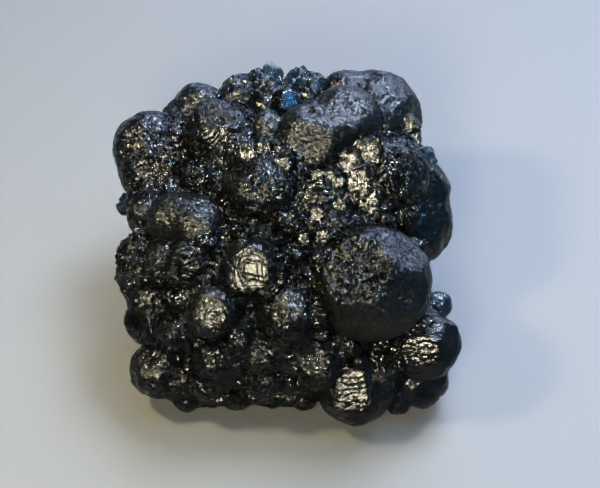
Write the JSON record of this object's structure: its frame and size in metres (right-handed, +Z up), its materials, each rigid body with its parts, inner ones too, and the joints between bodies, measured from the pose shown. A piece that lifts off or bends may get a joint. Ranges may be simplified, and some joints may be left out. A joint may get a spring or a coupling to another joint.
{
  "type": "mineral specimen",
  "caption": "Fluorite cluster: dark midnight-blue ball-shaped crystals grown into one another, with flat faces, growth steps and a pitted giant, cut flat where it rests.",
  "frame": {"origin": "middle of the flat base the cluster rests on, under the frame's centre", "axes": "+Z up, square to the base; +X to the right of someone who faces the show side; -Y is the show side, whose crystals lean up and forward at 55 degrees"},
  "size_m": [0.0613, 0.0583, 0.0411],
  "materials": {
    "fluorite": "glossy natural crystal faces with matt pits and growth lines, near black with a blue cast where thin"
  },
  "bodies": {
    "root": {"fluorite_cluster": "fluorite"}
  },
  "joints": []
}
